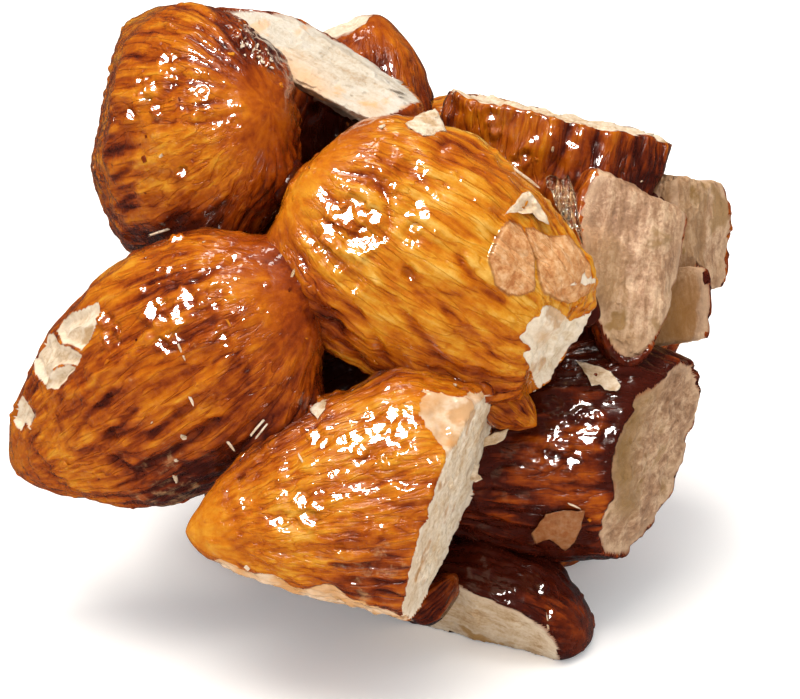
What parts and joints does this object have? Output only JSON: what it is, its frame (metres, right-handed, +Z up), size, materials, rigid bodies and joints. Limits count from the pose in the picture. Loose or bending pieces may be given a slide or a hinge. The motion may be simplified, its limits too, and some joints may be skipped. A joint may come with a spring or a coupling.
{
  "type": "nut cluster",
  "caption": "Cluster of caramelised almonds, whole and chopped, stuck together by glossy caramel into one bite-sized lump that stands on a table.",
  "frame": {"origin": "under the middle of the cluster, on the surface it stands on", "axes": "+Z up, +X to the cluster's right as its front is faced, along its longest side, +Y away from its front"},
  "size_m": [0.0408, 0.0352, 0.0337],
  "materials": {
    "amber_caramel": "glossy light caramel over almond skin",
    "caramel": "glossy caramel over almond skin",
    "burnt_caramel": "glossy dark caramel over almond skin",
    "almond_flesh": "matt fibrous almond flesh, thinly glazed"
  },
  "bodies": {
    "root": {"almond_centre": "amber_caramel", "almond_front": "amber_caramel", "almond_left": "caramel", "almond_upper_left": "caramel", "almond_lower_right": "burnt_caramel", "almond_foot": "burnt_caramel", "almond_top": "caramel", "slice_top": "almond_flesh", "half_right": "almond_flesh", "slab_upper_right": "caramel", "chunk_lower_right": "almond_flesh", "chunk_upper_right": "almond_flesh", "almond_core": "burnt_caramel", "back_foot_left": "caramel", "back_foot_right": "caramel", "back_left": "caramel", "back_middle": "amber_caramel", "back_right": "caramel", "back_upper_left": "caramel", "back_upper_right": "amber_caramel"}
  },
  "joints": []
}
